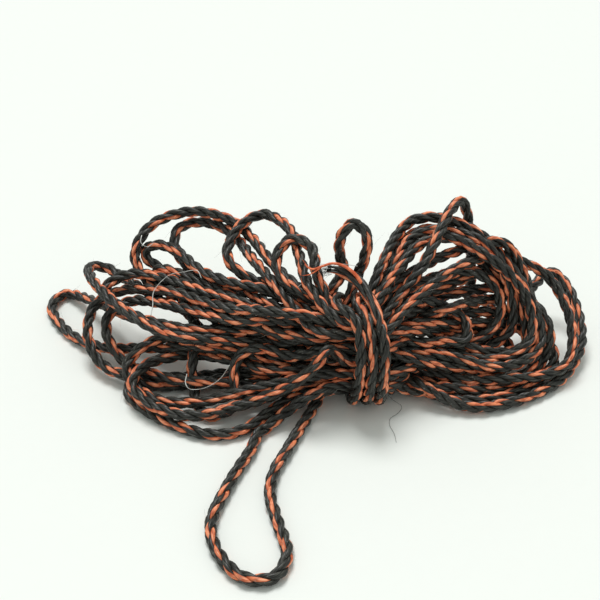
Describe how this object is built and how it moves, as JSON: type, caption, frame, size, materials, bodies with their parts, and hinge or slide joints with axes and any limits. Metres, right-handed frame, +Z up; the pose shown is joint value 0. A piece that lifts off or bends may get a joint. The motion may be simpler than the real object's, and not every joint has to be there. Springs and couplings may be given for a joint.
{
  "type": "coiled frayed rope",
  "caption": "Worn black and orange laid rope in a butterfly hank, its own end wound round the waist, with a long loose bight lying in front",
  "frame": {"origin": "on the floor, under the middle of the waist, where the middle wrap rests", "axes": "+X right along the hank, +Y away from the loose front bight, +Z up"},
  "size_m": [0.4695, 0.3412, 0.1356],
  "materials": {
    "rope": "black split-film polypropylene yarns with one orange yarn in each strand, dull and slightly glossy, fibrillated, scuffed pale and frayed by wear"
  },
  "bodies": {
    "root": {"hank": "rope", "waist_wraps": "rope", "front_bight": "rope", "standing_bight": "rope"}
  },
  "joints": []
}
